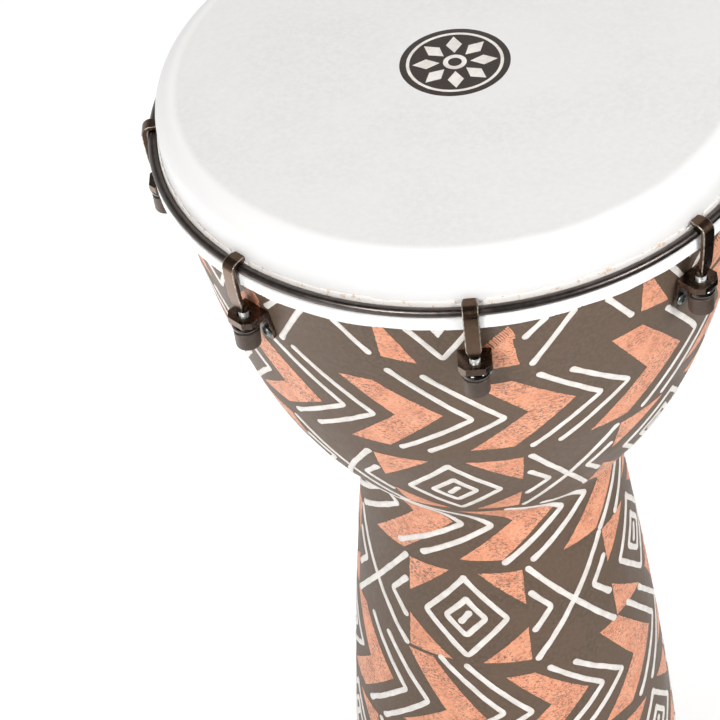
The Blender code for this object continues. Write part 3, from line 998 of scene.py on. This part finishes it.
def draw_stroke(paint, row, points, repeat, seed, width=None, rise=STROKE_RISE):
    """A raised line with round ends, laid on the shell."""
    width = width or row.stroke
    outline = stroke_outline(points, width, seed)
    ends = [(math.cos(math.radians(turn)), math.sin(math.radians(turn))) for turn in (80, 50, 22)]

    def cap(end, sense):
        middle, along, side, half = end
        return [(middle + along * half * sine * sense, side, half * cosine) for cosine, sine in ends]

    stations = cap(outline[0], -1) + [(middle, side, half) for middle, _, side, half in outline]
    stations += reversed(cap(outline[-1], 1))
    right = [(1.0, -PAINT_SINK), (0.90, 0.62 * rise), (0.55, rise)]
    shares = right + [(-across, height) for across, height in reversed(right)]
    made = []
    for middle, side, half in stations:
        full = math.sqrt(min(half / (0.5 * width), 1.0))
        for across, height in shares:
            at = middle + side * half * across
            lift = height if height < 0 else height * full
            made.append(row.on_shell(at.x, at.y, repeat, lift))
    n = len(shares)
    faces = []
    for i in range(len(stations) - 1):
        for j in range(n):
            k = (j + 1) % n
            faces.append((i * n + k, i * n + j, (i + 1) * n + j, (i + 1) * n + k))
    faces.append(tuple(range(n)))
    faces.append(tuple(reversed(range((len(stations) - 1) * n, len(stations) * n))))
    paint.add(made, faces)


def ragged(points, seed, spacing=1.3, rough=0.30):
    """An outline, in millimetres, with an uneven brushed edge."""
    made = []
    for a, b in zip(points, points[1:] + points[:1]):
        a, b = Vector(a), Vector(b)
        steps = max(2, round((b - a).length / spacing))
        side = Vector((-(b - a).y, (b - a).x)).normalized()
        for i in range(steps):
            at = a.lerp(b, i / steps)
            place = Vector((at.x * 0.45, at.y * 0.45, seed * 5.1))
            slip = rough * (noise.noise(place) + 0.8 * noise.noise(place * 2.7))
            made.append(at + side * slip * (0.4 if i == 0 else 1.0))
    return made


def patch_grid(outline, cell=3.0):
    """A flat outline cut into cells, so that it can follow the shell: points and faces, in millimetres."""
    form = bmesh.new()
    face = form.faces.new([form.verts.new((p.x, p.y, 0.0)) for p in outline])
    face.normal_update()
    if face.normal.z < 0:
        face.normal_flip()
    for axis in (0, 1):
        low = min(p[axis] for p in outline)
        high = max(p[axis] for p in outline)
        normal = (1.0, 0.0, 0.0) if axis == 0 else (0.0, 1.0, 0.0)
        for i in range(1, int((high - low) / cell) + 1):
            at = [0.0, 0.0, 0.0]
            at[axis] = low + i * cell
            geom = form.verts[:] + form.edges[:] + form.faces[:]
            bmesh.ops.bisect_plane(form, geom=geom, plane_co=at, plane_no=normal, dist=0.02)
    bmesh.ops.triangulate(form, faces=[f for f in form.faces if len(f.verts) > 4])
    form.verts.index_update()
    points = [(v.co.x, v.co.y) for v in form.verts]
    faces = [tuple(v.index for v in f.verts) for f in form.faces]
    rim = []
    for edge in form.edges:
        if edge.is_boundary:
            loop = edge.link_loops[0]
            rim.append((loop.vert.index, loop.link_loop_next.vert.index))
    form.free()
    return points, faces, rim


def draw_patch(paint, row, outline, repeat, seed):
    """A thin closed patch of paint, laid on the shell."""
    points, faces, rim = patch_grid(ragged(outline, seed))
    above = [row.on_shell(x / 1000, y / 1000, repeat, PATCH_RISE) for x, y in points]
    below = [row.on_shell(x / 1000, y / 1000, repeat, -PAINT_SINK) for x, y in points]
    n = len(points)
    made = list(faces)
    made += [tuple(n + i for i in reversed(face)) for face in faces]
    made += [(b, a, n + a, n + b) for a, b in rim]
    paint.add(above + below, made)


def mirrored(points, left=True, upper=True):
    """A motif's points, turned over to one of its four corners."""
    return [(x * (-1 if left else 1), y * (1 if upper else -1)) for x, y in points]


def in_order(points):
    """An outline turned so that it runs anticlockwise."""
    area = sum(a[0] * b[1] - b[0] * a[1] for a, b in zip(points, points[1:] + points[:1]))
    return points if area > 0 else list(reversed(points))


def moved(points, across):
    """A motif's points, moved to the right."""
    return [(x + across, y) for x, y in points]


def brushed_patch(paint, row, left, top, repeat, seed):
    """A solid orange foot under a comb of short brush lines, which run square in from the slanted edge."""
    foot = [(4.5, -16.5), (22.0, -16.0), (18.3, 9.0), (13.5, 4.0), (7.0, -3.5)]
    draw_patch(paint, row, in_order(foot), repeat, seed)
    for i, share in enumerate(between(0.0, 1.0, 16)):
        start = Vector(left).lerp(Vector(top), share)
        start += Vector((-0.6, 0.7)) * noise.noise(Vector((i * 2.3, seed, 5.0)))
        reach = 8.6 + 1.6 * noise.noise(Vector((i * 3.1, seed, 0.0)))
        end = start + reach * Vector((0.50, -0.87))
        end.x = min(end.x, 20.0)
        bow = start.lerp(end, 0.5) + Vector((0.25, 0.15))
        draw_stroke(paint, row, [tuple(start), tuple(bow), tuple(end)], repeat, seed + i, 0.00100, PATCH_RISE)


def fringe_row(white, orange, row):
    """Short strokes, a V, tall triangles and a brushed triangle, under the head's lapped band."""
    triangle = [(-49.0, 16.0), (-43.5, 16.0), (-29.5, -10.5), (-48.0, -7.0)]
    lines = [[(-69.5, 15.0), (-54.5, -5.5)], [(-32.0, 16.5), (-16.0, -6.5), (-1.0, 16.0)]]
    notch = [(-20.6, 17.0), (-16.9, 10.6), (-13.2, 17.0)]
    lines += [[(35.5, 16.0), (25.5, 5.0)], [(50.0, 16.0), (29.0, -17.0)]]
    for repeat in range(row.repeats):
        draw_patch(orange, row, in_order(triangle), repeat, repeat)
        draw_patch(white, row, in_order(notch), repeat, repeat + 0.5)
        brushed_patch(orange, row, (2.5, -0.5), (17.2, 14.5), repeat, repeat * 20)
        for i, line in enumerate(lines):
            draw_stroke(white, row, line, repeat, repeat * 5 + i)


# Each pair of chevrons: how far its arms reach up, down and back, and where the orange one's tip is
CHEVRONS = ((38, -29, 38, 5), (29, -31, 34, 2), (39, -36, 32, -4))


def chevron_row(white, orange, row, tall):
    """Pairs of white chevrons that point right, with a broad orange one between each pair and the next."""
    for repeat in range(row.repeats):
        upper, lower, back, lift = CHEVRONS[repeat % 3]
        after, below, _, _ = CHEVRONS[(repeat + 1) % 3]
        upper, lower, after, below = (tall * v for v in (upper, lower, after, below))
        outer = [(-back, upper), (0, 0), (-back - 4, lower)]
        inner = [(-back - 17, upper + 3), (-17, 1), (-back - 20, lower + 1)]
        broad = [(-14, after + 1), (4, after + 2), (37, lift)]
        broad += [(4, below + 3), (-20, below + 3), (12, lift * 0.5)]
        draw_patch(orange, row, in_order(broad), repeat, row.middle * 100 + repeat)
        draw_stroke(white, row, outer, repeat, row.middle * 50 + repeat)
        draw_stroke(white, row, inner, repeat, row.middle * 90 + repeat)


def block_row(white, orange, row, cross_half):
    """A diamond in a block with orange corners, then a crossed block."""
    half_x, half_y = 36.5, 34.5
    corner = [(9, half_y), (half_x, half_y), (half_x, 9)]
    diamond = [(0, 30), (25, 0), (0, -30), (-25, 0), (0, 30)]
    inner = [(1, 14), (12, 0), (0, -14), (-12, 0), (1, 14)]
    centre = [(-2.5, -3), (2.0, 3.5)]
    middle = half_x + cross_half + 2
    reach = cross_half - 2
    small = [(-reach, 16), (-reach + 11, 2), (-reach, -12)]
    for repeat in range(row.repeats):
        seed = row.middle * 70 + repeat
        for i, (left, upper) in enumerate(((True, True), (True, False), (False, True), (False, False))):
            draw_patch(orange, row, in_order(mirrored(corner, left, upper)), repeat, seed + i * 0.2)
        strokes = [diamond, inner, centre, moved([(-reach, half_y), (reach, -half_y)], middle)]
        strokes += [moved([(-reach, -half_y), (reach, half_y)], middle), moved(small, middle)]
        strokes.append(moved(mirrored(small), middle))
        for i, stroke in enumerate(strokes):
            draw_stroke(white, row, stroke, repeat, seed + i)


def make_pattern(white_paint, orange_paint):
    """All the rows, from the head down."""
    white, orange = Paint(), Paint()
    fringe_row(white, orange, Row(0.5480, 7, 270, BOWL_STROKE))
    chevron_row(white, orange, Row(0.4885, 13, 275, BOWL_STROKE), 1.0)
    block_row(white, orange, Row(0.4130, 6, 261, BOWL_STROKE), 24)
    chevron_row(white, orange, Row(0.3400, 8, 269, PIPE_STROKE), 0.95)
    block_row(white, orange, Row(0.2695, 4, 255, PIPE_STROKE), 28)
    chevron_row(white, orange, Row(0.1930, 9, 278, PIPE_STROKE), 1.0)
    block_row(white, orange, Row(0.1150, 5, 262, PIPE_STROKE), 25)
    chevron_row(white, orange, Row(0.0430, 10, 275, PIPE_STROKE), 0.85)
    piece("painted_orange", orange.mesh("orange"), (orange_paint,), "shell_body")
    piece("painted_white", white.mesh("white"), (white_paint,), "shell_body")


def make_badge(ink, light):
    """A generic printed badge in the middle of the head: a disc with a ring and eight diamonds."""
    level = HEIGHT + 0.00004
    thin = 0.00006
    disc = [(x, level) for x in between(0.0, BADGE_RADIUS - 0.0001, 8)] + [(BADGE_RADIUS, level - 0.00002)]
    disc += [(BADGE_RADIUS, level - thin), (0.0, level - thin)]
    mesh = turned("badge", disc, 128, closed=False)
    piece("head_badge", mesh, (ink,), "shell_body")
    marks = Paint()
    high = level + 0.00006

    def add_mark(outline):
        n = len(outline)
        top = [(x, y, high) for x, y in outline]
        base = [(x, y, level - 0.00002) for x, y in outline]
        faces = [tuple(range(n)), tuple(reversed(range(n, 2 * n)))]
        faces += [(i, n + i, n + (i + 1) % n, (i + 1) % n) for i in range(n)]
        marks.add(top + base, faces)

    def add_ring(outer, inner, count):
        outlines = circle(outer, count), circle(inner, count)
        points = [(x, y, z) for z in (high, level - 0.00002) for ring in outlines for x, y in ring]
        faces = []
        for i in range(count):
            j = (i + 1) % count
            faces.append((i, j, count + j, count + i))
            faces.append((2 * count + j, 2 * count + i, 3 * count + i, 3 * count + j))
            faces.append((i, 2 * count + i, 2 * count + j, j))
            faces.append((count + j, 3 * count + j, 3 * count + i, count + i))
        marks.add(points, faces)

    add_ring(0.0255, 0.0238, 96)
    add_ring(0.0062, 0.0036, 48)
    for i in range(8):
        turn = Matrix.Rotation(2 * math.pi * i / 8, 2)
        diamond = [(0.0222, 0.0), (0.0150, 0.0042), (0.0080, 0.0), (0.0150, -0.0042)]
        add_mark([tuple(turn @ Vector(p)) for p in diamond])
    piece("head_badge_marks", marks.mesh("marks"), (light,), "shell_body")


# Stage, light and camera

def make_floor():
    """A plain pale floor."""
    made = Finish("studio_floor", specular=0.1)
    tone = made.step(made.noise(1.5, 2, 0.5), 0.3, 0.7)
    made.colour(made.mix(tone, (0.495, 0.495, 0.495), (0.505, 0.505, 0.505)))
    made.roughness(0.7)
    made.glow(0.66)
    half = 30.0
    added("floor", flat_mesh("floor", [((-half, -half), (half, half))], 0.0, made.material))


def flat_mesh(name, areas, level, finish):
    """Level rectangles, each given by its low and its high corner."""
    form = bmesh.new()
    for (left, front), (right, back) in areas:
        corners = (left, front), (right, front), (right, back), (left, back)
        form.faces.new([form.verts.new((x, y, level)) for x, y in corners])
    mesh = form_mesh(name, form)
    mesh.materials.append(finish)
    return mesh


def make_card(name, areas, strength):
    """A card on the floor that only reflections see: black, or lit from within."""
    card = Finish(name, specular=0.0)
    card.colour((0.01, 0.01, 0.01, 1.0))
    card.roughness(0.9)
    card.glow(strength)
    thing = added(name, flat_mesh(name, areas, 0.002, card.material))
    thing.visible_camera = False
    thing.visible_diffuse = False
    thing.visible_transmission = False
    thing.visible_shadow = False


def make_cards():
    """Black in front and to the right of the drum, and a bright one to its left."""
    front, side, far = -0.785, 0.45, 4.0
    make_card("black_cards", [((-0.50, -far), (far, front)), ((side, front), (far, 0.60))], 0.0)
    make_card("bright_card", [((-1.40, -0.55), (-0.52, 0.55))], 2.6)


def make_sky():
    """A studio: a white sweep behind the drum that darkens overhead, and a dark room in front of it."""
    world = bpy.data.worlds.new("studio")
    bpy.context.scene.world = world
    world.use_nodes = True
    sky = Nodes(world.node_tree)
    split = sky.node("SeparateXYZ", Vector=sky.node("TexCoord").outputs["Generated"]).outputs
    height = sky.node("ValToRGB", Fac=split["Z"])
    ends = height.color_ramp.elements
    ends[0].position, ends[1].position = 0.16, 0.95
    for level in (0.45, 0.62):
        ends.new(level)
    for stop, glow in zip(ends, (1.05, 0.40, 0.16, 0.12)):
        stop.color = (glow, glow, glow, 1.0)
    room = sky.mix(sky.step(split["Y"], -0.45, 0.15), (0.03, 0.03, 0.03), height.outputs["Color"])
    background, output = (sky.tree.nodes[name] for name in ("Background", "World Output"))
    sky.put(room, background.inputs["Color"])
    backdrop = sky.node("Background", Color=(1.0, 1.0, 1.0, 1.0))
    choose = sky.node("MixShader", Fac=sky.node("LightPath").outputs["Is Camera Ray"])
    for i, shader in enumerate((background, backdrop)):
        sky.put(shader.outputs["Background"], choose.inputs[i + 1])
    sky.put(choose.outputs["Shader"], output.inputs["Surface"])


def softbox(name, place, size, power):
    """A square light aimed at the drum's bowl."""
    lamp = bpy.data.lights.new(name, "AREA")
    lamp.shape = "SQUARE"
    lamp.size = size
    lamp.energy = power
    aim = (Vector((0.0, 0.0, 0.45)) - Vector(place)).to_track_quat("-Z", "Y")
    return added(name, lamp, Matrix.LocRotScale(Vector(place), aim, None))


def make_lights():
    """Soft light from high on both sides in front, and a weak one behind that reflections don't see."""
    softbox("key", (-1.15, -2.15, 1.95), 0.7, 50)
    softbox("fill", (2.00, -1.30, 1.85), 0.7, 42)
    softbox("top", (0.0, 0.5, 3.2), 1.2, 28).visible_glossy = False


def make_camera():
    """High in front, turned a little, close on the near side of the head."""
    lens = bpy.data.cameras.new("camera")
    lens.lens = 130.9
    lens.sensor_width = 36.0
    lens.clip_start = 0.05
    azimuth, elevation, roll = (math.radians(a) for a in (4.91, 42.64, -7.71))
    turn = Matrix.Rotation(azimuth, 4, "Z") @ Matrix.Rotation(math.pi / 2 - elevation, 4, "X")
    turn = turn @ Matrix.Rotation(roll, 4, "Z")
    bpy.context.scene.camera = added("camera", lens, Matrix.Translation((0.02473, -1.10002, 1.42190)) @ turn)


make_camera()
make_sky()
make_lights()
make_floor()
make_cards()
bpy.context.scene.view_settings.view_transform = "Standard"

zinc = zinc_plated("zinc_steel", (0.80, 0.81, 0.79), 0.8)
# A darker copy of the zinc plate, for the screws under the shelves.
darker_zinc = zinc_plated("darker_zinc", (0.25, 0.28, 0.27), 0.9)
strap_black = nickel_plated("strap_black", (0.125, 0.080, 0.054), 0.30)
# Pale steel on the strap's outer rolled edges, a painted highlight along them.
strap_highlight_edge = edge_highlight_steel("strap_edge_highlight", (0.20, 0.165, 0.135), (0.58, 0.51, 0.44))
bracket_black = nickel_plated("bracket_black", (0.125, 0.090, 0.068), 0.28)
# Paler steel on the bracket's rounded edges, a painted highlight along them.
bracket_highlight_edge = edge_highlight_steel("bracket_edge_highlight", (0.13, 0.100, 0.080), (0.30, 0.245, 0.20))
hoop_black = nickel_plated("hoop_black", (0.115, 0.098, 0.090), 0.34)
collar_black = nickel_plated("collar_black", (0.090, 0.080, 0.075), 0.14)
drawn_tone, drawn_grain = (260, 4, 0.6, (1.0, 1.0, 7.0)), (900, 3, 0.6, (1.0, 1.0, 6.0))
sleeve_black = mottled("nut_sleeve", (0.068, 0.046, 0.035), (0.098, 0.067, 0.051), drawn_tone,
                       MIDRANGE, (0.44, 0.56), drawn_grain, 0.00003, metallic=0.3)
bare_inside = mottled("shell_inside", (0.024, 0.022, 0.020), (0.042, 0.038, 0.034), (60, 5, 0.6),
                      MIDRANGE, (0.55, 0.72), (700, 4, 0.6), 0.00008)
white_line = mottled("white_paint", (0.70, 0.655, 0.605), (0.84, 0.80, 0.755), (160, 4, 0.6),
                     MIDRANGE, (0.40, 0.54), (700, 3, 0.5), 0.00006)
lapped_skin = mottled("lapped_skin", (0.900, 0.895, 0.888), (0.945, 0.945, 0.945), (70, 4, 0.6),
                      MIDRANGE, (0.42, 0.58), (1200, 4, 0.6), 0.00004)
cut_skin = mottled("cut_edge", (0.78, 0.60, 0.45), (0.96, 0.915, 0.87), (260, 5, 0.7),
                   (0.34, 0.46), (0.65, 0.50), (1500, 4, 0.6), 0.00008)
rubber = mottled("rubber", (0.017, 0.017, 0.017), (0.038, 0.036, 0.034), (90, 5, 0.65),
                 (0.45, 0.75), (0.68, 0.88), (1600, 4, 0.65), 0.00007)
badge_ink = mottled("badge_ink", (0.038, 0.029, 0.025), (0.056, 0.043, 0.037), (500, 4, 0.6),
                    MIDRANGE, (0.44, 0.56), (1500, 4, 0.6), 0.00002)

make_shell(shell_finish(), bare_inside)
make_head(membrane_finish())
make_lapped_band(lapped_skin)
make_cut_edge(cut_skin)
make_hoop(hoop_black)
make_foot(rubber)
make_claws(strap_black, strap_highlight_edge, zinc)
make_brackets(bracket_black, bracket_highlight_edge)
make_nuts(collar_black, sleeve_black)
make_screws(darker_zinc)
make_backing_plates(zinc)
make_pattern(white_line, orange_finish())
make_badge(badge_ink, white_line)
